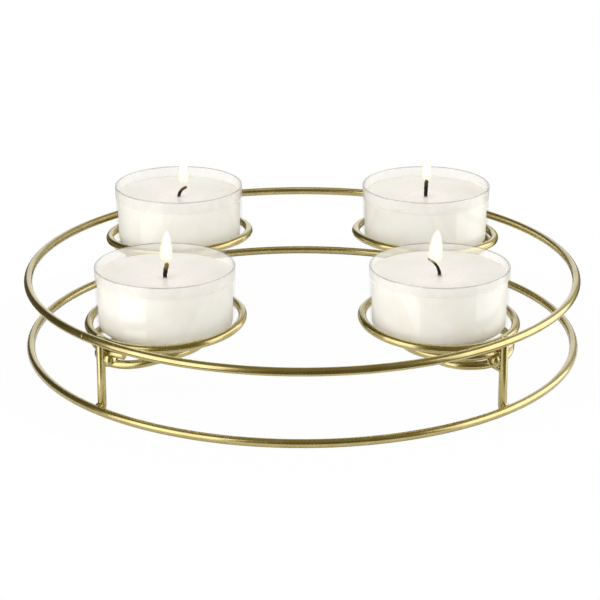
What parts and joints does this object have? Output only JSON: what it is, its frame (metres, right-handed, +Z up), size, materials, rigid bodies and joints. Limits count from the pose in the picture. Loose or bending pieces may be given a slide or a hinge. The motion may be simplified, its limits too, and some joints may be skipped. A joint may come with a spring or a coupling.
{
  "type": "advent candle holder",
  "caption": "Round wire frame of two joined rings with cup rings inside, holding clear-cupped candles for the weeks of advent.",
  "frame": {"origin": "on the table, at the middle of the frame", "axes": "+Z up, -Y towards the viewer of the picture, +X to the viewer's right"},
  "size_m": [0.24, 0.24, 0.0575],
  "materials": {
    "gold_wire": "satin champagne gold",
    "clear_cup": "clear gloss",
    "wax": "ivory wax",
    "wick": "charred cotton",
    "tin_foot": "thin tinplate"
  },
  "bodies": {
    "frame": {"top_ring": "gold_wire", "bottom_ring": "gold_wire", "post_front_left": "gold_wire", "post_front_right": "gold_wire", "post_back_right": "gold_wire", "post_back_left": "gold_wire", "cup_ring_front_left": "gold_wire", "cup_ring_front_right": "gold_wire", "cup_ring_back_right": "gold_wire", "cup_ring_back_left": "gold_wire", "seat_coil_front_left": "gold_wire", "seat_coil_front_right": "gold_wire", "seat_coil_back_right": "gold_wire", "seat_coil_back_left": "gold_wire"},
    "candle_front_left": {"cup_front_left": "clear_cup", "wax_front_left": "wax", "wick_front_left": "wick", "wick_foot_front_left": "tin_foot"},
    "candle_front_right": {"cup_front_right": "clear_cup", "wax_front_right": "wax", "wick_front_right": "wick", "wick_foot_front_right": "tin_foot"},
    "candle_back_right": {"cup_back_right": "clear_cup", "wax_back_right": "wax", "wick_back_right": "wick", "wick_foot_back_right": "tin_foot"},
    "candle_back_left": {"cup_back_left": "clear_cup", "wax_back_left": "wax", "wick_back_left": "wick", "wick_foot_back_left": "tin_foot"}
  },
  "joints": [
    {"name": "lift_front_left", "type": "slide", "parent": "frame", "child": "candle_front_left", "axis": [0, 0, 1], "range_m": [0, 0.06]},
    {"name": "lift_front_right", "type": "slide", "parent": "frame", "child": "candle_front_right", "axis": [0, 0, 1], "range_m": [0, 0.06]},
    {"name": "lift_back_right", "type": "slide", "parent": "frame", "child": "candle_back_right", "axis": [0, 0, 1], "range_m": [0, 0.06]},
    {"name": "lift_back_left", "type": "slide", "parent": "frame", "child": "candle_back_left", "axis": [0, 0, 1], "range_m": [0, 0.06]}
  ]
}
